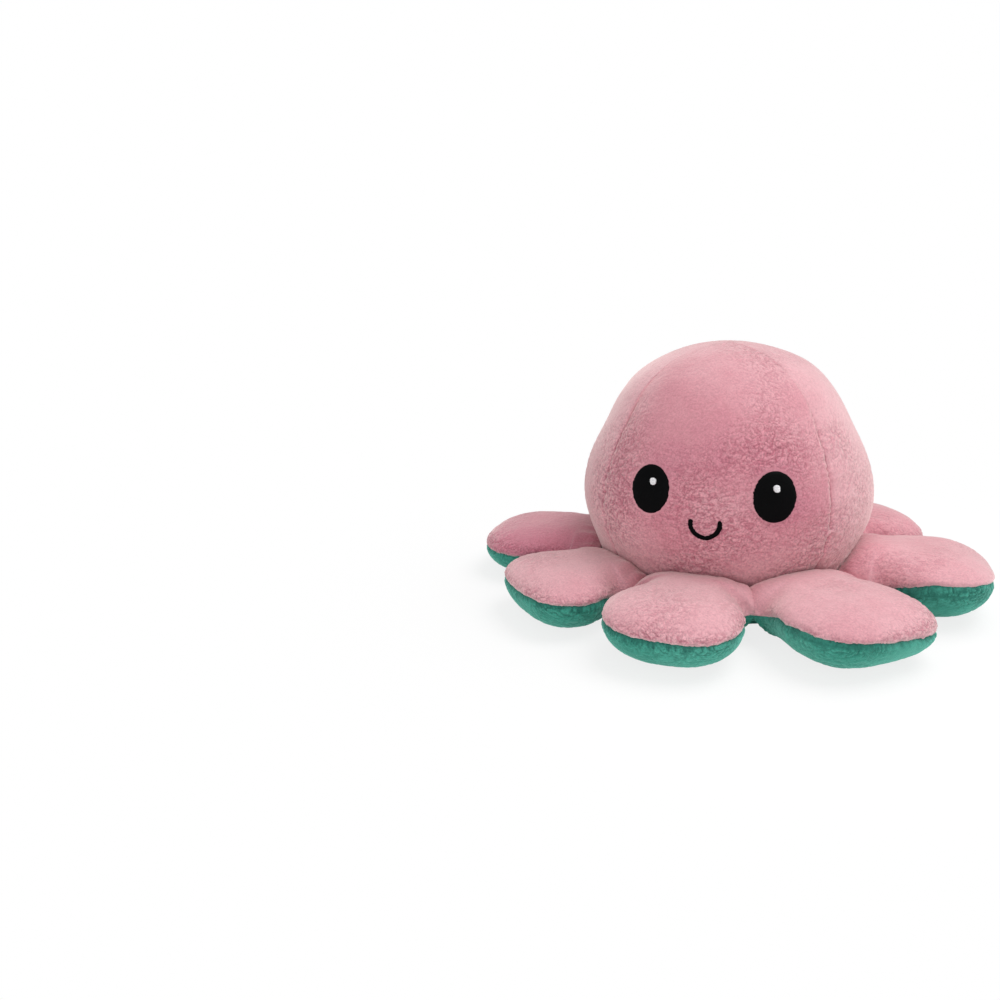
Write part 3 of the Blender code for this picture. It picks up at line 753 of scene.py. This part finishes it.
def petal_rule(turn, upper_side, number):
    """Where the points of one petal's top or underside go."""
    seed = number * 1.7
    heading = Vector((math.cos(turn), math.sin(turn), 0))
    beside = Vector((-heading.y, heading.x, 0))

    def rule(x, y, shown):
        if not upper_side:
            x = 1 - x
        outward, aside, near_edge, across = petal_plan(x, y, number)
        seam = seam_height(outward, across, number)
        if upper_side:
            z = petal_top(outward, aside, near_edge, across, number)
        else:
            z = petal_underside(outward, near_edge, across, number)
        middle_z = seam + (0.15 if upper_side else -0.15) * MM
        z = np.where(shown, z, middle_z + (z - middle_z) * 0.7)
        draw_in = np.exp(-(((z - seam) / (0.9 * MM)) ** 2)) * near_edge**6 * 0.9 * MM
        draw_in = draw_in * smooth_share(outward, NOTCH_RADIUS, NOTCH_RADIUS + 6 * MM)
        draw_in = draw_in + np.where(shown, 0, near_edge * CLOTH_MM * MM)
        reach = np.hypot(outward - middle_radius, aside) + 1e-9
        outward = outward - (outward - middle_radius) / reach * draw_in
        aside = aside - aside / reach * draw_in
        forward, aside = leaned(outward, aside, across, number)
        place = np.outer(forward, heading) + np.outer(aside, beside)
        wobble = lumps(place, 5, seed + 9) * SEAM_WOBBLE_MM * MM * near_edge**4
        place[:, 2] = z + wobble * smooth_share(outward, NOTCH_RADIUS, middle_radius)
        uneven = lumps(place, 20, seed) * 0.6 + lumps(place, 9, seed + 5) * 0.25
        place[:, 2] += np.where(shown, uneven, 0) * MM * (1 - near_edge**4) * (1 if upper_side else 0.3)
        place[:, 2] = np.maximum(place[:, 2], 0)
        return place

    return rule


# %% [markdown]
# ## Sewing the petals on
#
# A petal bends where it leaves the neck. Here each top and underside is made in its place and its transform
# is baked in. It is given no body, so it moves with neither the head nor its tentacle.

# %% Make the petals
for number, hinge in enumerate(hinges, start=1):
    turn = math.atan2(hinge.y, hinge.x)
    body = f"tentacle_{number}"
    for upper_side in (True, False):
        part = "top" if upper_side else "underside"
        rule = petal_rule(turn, upper_side, number - 1)
        petal = PETALS[number - 1]
        item, shown = make_piece(unit_cloth(16, 16, FINE), f"{body}_{part}_velour", rule)
        places = np.array([v.co for v in item.data.vertices])
        at_seam = np.exp(-(((places[:, 2] - seam_z) / (3.2 * MM)) ** 2))
        by_seam = np.exp(-(((places[:, 2] - seam_z) / (0.8 * MM)) ** 2))
        radii = np.hypot(places[:, 0], places[:, 1])
        away = smooth_share(radii, neck_radius + 1 * MM, neck_radius + 20 * MM)
        at_seam = at_seam * smooth_share(radii, NOTCH_RADIUS, NOTCH_RADIUS + 12 * MM)
        # Painted shade along the edge seam, stronger on the teal. On the pink tops, painted light and shade: deeper
        # near the neck, where the head shades them, paler further out, plus each petal's own painted tone.
        grow_pile(
            item,
            shown,
            number + 10 * upper_side,
            lawn=1 - by_seam * 0.5,
            curl=at_seam * 0.9 - 0.25 if upper_side else at_seam * 0.6,
            painted_seam_shade=by_seam * (0.2 if upper_side else 0.7),
            tone_and_painted_light=0.36 * away - 0.1 + petal.paler if upper_side else 0,
        )
        stands_for = [f"{body}_{part}"]
        if upper_side:
            stands_for += [f"{body}_stuffing"] + (["upper_skirt_ring"] if number == 1 else [])
        finish = PINK_VELOUR if upper_side else TEAL_VELOUR
        finish_piece(item, finish, None, stands_for)
        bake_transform(item)
print("petals:", 2 * len(hinges))

# %% [markdown]
# ## The base and the pocket
#
# Underneath, the teal cloth runs from the petals to the mouth of the pocket and turns up into it, with small
# gathers all round the mouth. It is a ring, so its profile is spun round the middle. The pocket is the teal
# side's head turned in: four panels again, with their pile facing the hollow.

# %% Make the base ring
mouth_radius = min(math.hypot(v.co.x, v.co.y) for v in frame["nodes"]["lower_skirt_ring"].data.vertices)
ring_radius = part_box("lower_skirt_ring")[1].x
RING_STEPS = 320
MOUTH_GATHERS = 44
MOUTH_GATHER_MM = 0.35


def ring_section(steps):
    """The base ring's section: down its outer side, flat on the table, up into the mouth, and back inside."""
    half = (ring_radius - mouth_radius) / 2
    middle = (ring_radius + mouth_radius) / 2
    points = []
    for step in range(steps + 1):
        angle = math.pi * step / steps
        outward = math.copysign(abs(math.cos(angle)) ** 0.5, math.cos(angle))
        points.append((middle + half * outward, 6.5 * MM * (1 - math.sin(angle) ** 0.8)))
    inside = [(middle - (half - CLOTH_MM * MM) * math.cos(math.pi * s / 8), 6.9 * MM) for s in range(9)]
    return points + inside


bm = bmesh.new()
section = [bm.verts.new((radius, 0, z)) for radius, z in ring_section(64)]
edges = [bm.edges.new(pair) for pair in zip(section, section[1:] + section[:1])]
bmesh.ops.spin(
    bm,
    geom=section + edges,
    cent=(0, 0, 0),
    axis=(0, 0, 1),
    angle=2 * math.pi,
    steps=RING_STEPS,
    use_merge=True,
)
bmesh.ops.remove_doubles(bm, verts=bm.verts, dist=0.01 * MM)
bmesh.ops.recalc_face_normals(bm, faces=bm.faces)
mesh = bpy.data.meshes.new("base_ring_velour")
bm.to_mesh(mesh)
bm.free()
base_ring = bpy.data.objects.new("base_ring_velour", mesh)
bpy.context.collection.objects.link(base_ring)
mesh.shade_smooth()
places = np.array([v.co for v in mesh.vertices])
radii = np.hypot(places[:, 0], places[:, 1])
turns = np.arctan2(places[:, 1], places[:, 0])
gather = np.sin(turns * MOUTH_GATHERS) * np.exp(-(radii - mouth_radius) / (4 * MM)) * MOUTH_GATHER_MM * MM
places[:, 2] = np.maximum(places[:, 2] + gather, 0)
mesh.vertices.foreach_set("co", places.ravel())
mesh.update()
lawn = np.where(places[:, 2] < 6.8 * MM, 1.0, 0.0)
grow_pile(base_ring, places[:, 2] < 6.8 * MM, 31, lawn=lawn)
finish_piece(base_ring, TEAL_VELOUR, "head", ["lower_skirt_ring"])
print("base ring from", round(mouth_radius, 4), "to", round(ring_radius, 4))

# %% Make the pocket panels
pocket_crown_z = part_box("pocket_right_panel")[1].z - CLOTH_MM * MM
pocket_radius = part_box("pocket_right_panel")[1].x - CLOTH_MM * MM
wall = frame["nodes"]["pocket_right_panel"].data.vertices
pocket_widest_z = max(wall, key=lambda vertex: vertex.co.x).co.z
pocket_base_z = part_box("pocket_right_panel")[0].z
mouth_share = mouth_radius / pocket_radius
pocket_drop = (pocket_widest_z - pocket_base_z) / (1 - mouth_share**HEAD_POWER) ** (1 / HEAD_POWER)
pocket_rise = pocket_crown_z - pocket_widest_z
pocket_lift = -math.asin(((pocket_widest_z - pocket_base_z) / pocket_drop) ** (HEAD_POWER / 2))


def pocket_skin(turn, lift, rise_mm):
    """Points that lie rise_mm over the pocket's pile side, towards its hollow."""
    sine = np.sign(lift) * np.abs(np.sin(lift)) ** (2 / HEAD_POWER)
    cosine = np.abs(np.cos(lift)) ** (2 / HEAD_POWER)
    radius = pocket_radius * cosine
    z = pocket_widest_z + np.where(lift > 0, pocket_rise, pocket_drop) * sine
    place = np.stack([radius * np.sin(turn), -radius * np.cos(turn), z], 1)
    outward = np.stack([cosine * np.sin(turn), -cosine * np.cos(turn), sine], 1)
    across = (turn / QUARTER + 0.5) % 1
    from_seam = radius * np.sin((0.5 - np.abs(across - 0.5)) * QUARTER) / MM
    valley = 0.7 * np.exp(-((from_seam / SEAM_VALLEY_WIDTH_MM) ** 2))
    shift = valley + 0.5 * lumps(place, 14, 2.3) - rise_mm
    return place + outward * (shift * MM)[:, None]


def pocket_panel_rule(middle):
    """Where the points of one pocket panel go. x runs the other way round, so that the pile faces inwards."""

    def rule(x, y, upper):
        turn = middle - (x - 0.5) * QUARTER
        lift = pocket_lift + (QUARTER - pocket_lift) * y
        return pocket_skin(turn, lift, np.where(upper, 0, -CLOTH_MM))

    return rule


for number, (side_name, degrees) in enumerate(SIDES.items()):
    short = side_name.replace("_head", "")
    rule = pocket_panel_rule(math.radians(degrees))
    panel, shown = make_piece(unit_cloth(12, 18, FINE), f"pocket_{short}_velour", rule)
    grow_pile(panel, shown, number + 40)
    finish_piece(panel, TEAL_VELOUR, "head", [f"pocket_{short}_panel"])
print("pocket", round(2 * pocket_radius, 4), "wide")

# %% [markdown]
# ## The faces
#
# Satin stitch lays threads side by side, straight across a shape, so its surface is a row of fine ridges and
# its edge is slightly toothed where each thread turns back. A patch is again a unit cloth: its y counts the
# threads, and its x runs along them.

# %% Satin stitch
THREAD_RISE_MM = 0.55
GLINT_THREADS = 3         # doubled thread
RIDGE_SHARE = 0.3         # of the distance between threads
TOOTH_MM = 0.2


def satin_patch(name, skin, middle, half_width, half_height, threads, foot_mm, outline):
    """A patch of satin stitch on a skin. The outline gives the patch's edges at each height, from -1 to 1."""
    turn_middle, lift_middle, radius, climb = middle
    teeth = np.random.default_rng(threads).uniform(-1, 1, (2, threads)) * TOOTH_MM * MM / half_width

    def rule(x, y, upper):
        v = (2 * y - 1) * 0.997
        left, right = outline(v)
        row = np.clip(y * threads, 0, threads - 1).astype(int)
        left = left - teeth[0][row]
        right = right + teeth[1][row]
        u = left + (right - left) * x
        ridge = RIDGE_SHARE * 2 * half_height / threads / MM * np.abs(np.sin(y * threads * math.pi))
        crown = (1 - np.abs(2 * x - 1) ** 6) ** 0.5 * (1 - np.abs(v) ** 14)
        rise = np.where(upper, foot_mm + THREAD_RISE_MM * crown + ridge * crown, foot_mm - 0.4)
        return skin(turn_middle + u * half_width / radius, lift_middle + v * half_height / climb, rise)

    cells = unit_cloth(8, max(threads // 2, 3), 7)
    return make_piece(cells, name, rule)[0]


def round_outline(v):
    """A full oval."""
    edge = np.sqrt(1 - v**2)
    return -edge, edge


def on_head(turn, z):
    """A place on the head: its angle, its lift, and how many metres one radian is round it and up it."""
    lift = lift_at(z)
    up = (lift_at(z + MM) - lift_at(z - MM)) / 2
    return turn + FACE_ASIDE, lift, head_radius * math.cos(lift), MM / up


# Machine embroidery lands a little off its mark: how far aside and how far up, in millimetres.
OFF_MARK_MM = {"left_eye": (0.1, 0.3), "right_eye": (0.2, -0.3), "left_glint": (0.7, 0), "right_glint": (-0.5, -0.5)}
EYE_LARGER_MM = {"left": 0, "right": 0.25}


def off_mark(name, turn, z):
    """An angle and a height on the head, moved by how far this piece is off its mark."""
    aside, up = OFF_MARK_MM[name]
    return turn + aside * MM / head_radius, z + up * MM


for name, (turn, z, wide, tall) in EYES.items():
    turn, z = off_mark(f"{name}_eye", turn, z)
    wide = wide + EYE_LARGER_MM[name] * MM
    tall = tall + EYE_LARGER_MM[name] * MM
    threads = round(2 * tall / MM / THREAD_MM)
    eye = satin_patch(f"{name}_eye_stitching", head_skin, on_head(turn, z), wide, tall, threads, 0.1, round_outline)
    finish_piece(eye, BLACK_THREAD, "head", [f"{name}_eye"])
    turn, z, wide, tall = GLINTS[name]
    turn, z = off_mark(f"{name}_glint", turn, z)
    place = on_head(turn, z)
    glint = satin_patch(f"{name}_glint_stitching", head_skin, place, wide, tall, GLINT_THREADS, 0.75, round_outline)
    finish_piece(glint, WHITE_THREAD, "head", [f"{name}_eye_glint"])
print("eye threads:", threads)


# %% The smile
ARC_POWER = 1.85          # 2 is a circle; less draws the middle of each half in, as the pull of the thread does


def satin_arc(name, skin, middle, half_width, depth, stroke, foot_mm):
    """A stroke of satin stitch along an arc, with its threads across the stroke and round ends."""
    turn_middle, lift_middle, turn_radius, climb = middle
    radius = (half_width**2 + depth**2) / (2 * abs(depth))
    half_angle = 2 * math.atan(abs(depth) / half_width)
    threads = round(2 * half_angle * radius / (THREAD_MM * MM))
    teeth = 1 + np.random.default_rng(threads).uniform(-0.12, 0.12, threads)

    def rule(x, y, upper):
        angle = half_angle * (2 * x - 1)
        row = np.clip(x * threads, 0, threads - 1).astype(int)
        past = np.clip((np.abs(2 * x - 1) - 1) * half_angle * radius + stroke / 2, 0, None) / (stroke / 2)
        ending = np.sqrt(np.clip(1 - past**2, 0.02, 1))
        across = (2 * y - 1) * ending * teeth[row]
        powers = np.abs(np.sin(angle)) ** ARC_POWER + np.abs(np.cos(angle)) ** ARC_POWER
        reach = (radius - across * stroke / 2) / powers ** (1 / ARC_POWER)
        crown = np.sqrt(np.clip(1 - np.abs(2 * y - 1) ** 3, 0, 1)) * ending
        ridge = RIDGE_SHARE * THREAD_MM * np.abs(np.sin(x * threads * math.pi))
        rise = np.where(upper, foot_mm + (THREAD_RISE_MM + ridge) * crown, foot_mm - 0.4)
        aside = reach * np.sin(angle)
        up = math.copysign(1, depth) * (radius - reach * np.cos(angle)) - depth / 2
        return skin(turn_middle + aside / turn_radius, lift_middle + up / climb, rise)

    cells = unit_cloth(threads, 4, 5)
    return make_piece(cells, name, rule)[0]


STROKE_WIDTH = 1.7 * MM
SMILE_ASIDE = math.radians(-1.3)
SMILE_NARROWER = 0.93     # the thread's pull draws its ends together
turn, z, wide, tall = SMILE
depth = 2 * tall - STROKE_WIDTH / 4
half_width = (wide - STROKE_WIDTH / 2) * SMILE_NARROWER
place = on_head(turn + SMILE_ASIDE, z)
smile = satin_arc("smile_stitching", head_skin, place, half_width, depth, STROKE_WIDTH, 0.1)
finish_piece(smile, BLACK_THREAD, "head", ["smile"])
print("smile", round(2 * wide / MM, 1), "mm wide")

# %% [markdown]
# ## The inner face
#
# The teal side has a face of its own on the wall of the pocket, and it isn't as cheerful. Its eyes are ovals
# cut off by slanted brows, and its mouth turns down. It shows when the toy is turned, or when someone looks
# up into the pocket.

# %% Stitch the inner face
BROW_SHARE = 0.3
BROW_SLANT_SHARE = 0.22
INNER_STROKE_WIDTH = 1.1 * MM


def pocket_lift_at(z):
    """The lift of a height on the pocket."""
    reach = pocket_rise if z > pocket_widest_z else pocket_drop
    return math.copysign(math.asin((abs(z - pocket_widest_z) / reach) ** (HEAD_POWER / 2)), z - pocket_widest_z)


def on_pocket(turn, z):
    """A place on the pocket, as on_head gives one on the head."""
    lift = pocket_lift_at(z)
    up = (pocket_lift_at(z + MM) - pocket_lift_at(z - MM)) / 2
    return turn, lift, pocket_radius * math.cos(lift), MM / up


def browed_outline(side):
    """A round eye cut by a slanted brow that climbs towards one side: -1 for the left, 1 for the right."""
    corner = math.sqrt(1 + BROW_SLANT_SHARE**2 - BROW_SHARE**2) - BROW_SHARE * BROW_SLANT_SHARE
    top = BROW_SHARE + BROW_SLANT_SHARE * corner / (1 + BROW_SLANT_SHARE**2)

    def outline(v):
        y = (v + 1) / 2 * (top + 1) - 1
        edge = np.sqrt(1 - y**2)
        brow = np.clip(side * (y - BROW_SHARE) / BROW_SLANT_SHARE, -edge, edge)
        return (brow, edge) if side > 0 else (-edge, brow)

    return outline


for name, side in (("left", -1), ("right", 1)):
    turn, z, wide, tall = measure_on_head(f"inner_{name}_eye")
    browed = browed_outline(side)
    threads = round(2 * tall / MM / THREAD_MM)
    eye = satin_patch(f"inner_{name}_eye_stitching", pocket_skin, on_pocket(turn, z), wide, tall, threads, 0.1, browed)
    finish_piece(eye, BLACK_THREAD, "head", [f"inner_{name}_eye"])
    turn, z, wide, tall = measure_on_head(f"inner_{name}_eye_glint")
    glint = satin_patch(
        f"inner_{name}_glint_stitching", pocket_skin, on_pocket(turn, z), wide, tall, GLINT_THREADS, 0.75, round_outline
    )
    finish_piece(glint, WHITE_THREAD, "head", [f"inner_{name}_eye_glint"])
turn, z, wide, tall = measure_on_head("inner_frown")
half_width = wide - INNER_STROKE_WIDTH / 2
depth = INNER_STROKE_WIDTH / 2 - 2 * tall
place = on_pocket(turn, z - INNER_STROKE_WIDTH / 4)
frown = satin_arc("inner_frown_stitching", pocket_skin, place, half_width, depth, INNER_STROKE_WIDTH, 0.1)
finish_piece(frown, BLACK_THREAD, "head", ["inner_frown"])
print("inner face stitched")

# %% [markdown]
# ## Floor and light
#
# A soft toy looks best in broad, soft light that comes mostly from above. One large lamp does that, a weak one
# fills the front, and the pale floor throws light back up under the petals. The background is plain white:
# where a camera ray meets the floor far from the toy or the world behind it, it sees white.

# %% Build the floor
FLOOR_HALF = 3.0
bm = bmesh.new()
bmesh.ops.create_grid(bm, x_segments=1, y_segments=1, size=FLOOR_HALF)
bmesh.ops.translate(bm, verts=bm.verts, vec=(0, 0, -0.3 * MM))
mesh = bpy.data.meshes.new("studio_floor")
bm.to_mesh(mesh)
bm.free()
floor = bpy.data.objects.new("studio_floor", mesh)
bpy.context.collection.objects.link(floor)
paper = bpy.data.materials.new("white_background_paper")
paper.use_nodes = True
tree = paper.node_tree
shader = tree.nodes["Principled BSDF"]
shader.inputs["Base Color"].default_value = linear("F4F4F4")
shader.inputs["Roughness"].default_value = 0.9
place = add_node(tree, "ShaderNodeTexCoord").outputs["Object"]
away = add_node(tree, "ShaderNodeVectorMath", {0: place}, operation="LENGTH")
faded = add_node(
    tree,
    "ShaderNodeMapRange",
    {"Value": away.outputs["Value"], "From Min": 0.1, "From Max": 0.2, "To Min": 0.8, "To Max": 1},
    interpolation_type="SMOOTHSTEP",
)
rays = add_node(tree, "ShaderNodeLightPath")
seen = add_node(
    tree,
    "ShaderNodeMath",
    {0: rays.outputs["Is Camera Ray"], 1: faded.outputs["Result"]},
    operation="MULTIPLY",
)
glow = add_node(tree, "ShaderNodeEmission", {"Color": linear("FFFFFF"), "Strength": 1})
mixed = add_node(tree, "ShaderNodeMixShader", {0: seen.outputs[0], 1: shader.outputs[0], 2: glow.outputs[0]})
tree.links.new(mixed.outputs[0], tree.nodes["Material Output"].inputs["Surface"])
floor.data.materials.append(paper)
print("floor", 2 * FLOOR_HALF, "m wide")


# %% Hang the lamps
def area_lamp(name, place, size, watts):
    """A square soft lamp that faces the toy."""
    data = bpy.data.lights.new(name, "AREA")
    data.size = size
    data.energy = watts
    lamp = bpy.data.objects.new(name, data)
    bpy.context.collection.objects.link(lamp)
    lamp.location = place
    lamp.rotation_mode = "QUATERNION"
    lamp.rotation_quaternion = (Vector(place) - TARGET).to_track_quat("Z", "Y")
    return lamp


area_lamp("overhead_softbox", (0.4, 0.2, 0.95), 0.8, 9.2)
area_lamp("front_fill", (-0.1, -1.0, 0.07), 0.8, 4.4)

world = bpy.data.worlds.new("studio")
bpy.context.scene.world = world
world.use_nodes = True
tree = world.node_tree
sky = tree.nodes["Background"]
sky.inputs["Color"].default_value = linear("FFFFFF")
sky.inputs["Strength"].default_value = 0.5
white = add_node(tree, "ShaderNodeBackground", {"Color": linear("FFFFFF"), "Strength": 1})
rays = add_node(tree, "ShaderNodeLightPath")
shown = add_node(tree, "ShaderNodeMixShader", {0: rays.outputs["Is Camera Ray"], 1: sky.outputs[0], 2: white.outputs[0]})
tree.links.new(shown.outputs[0], tree.nodes["World Output"].inputs["Surface"])
bpy.context.scene.view_settings.view_transform = "Standard"
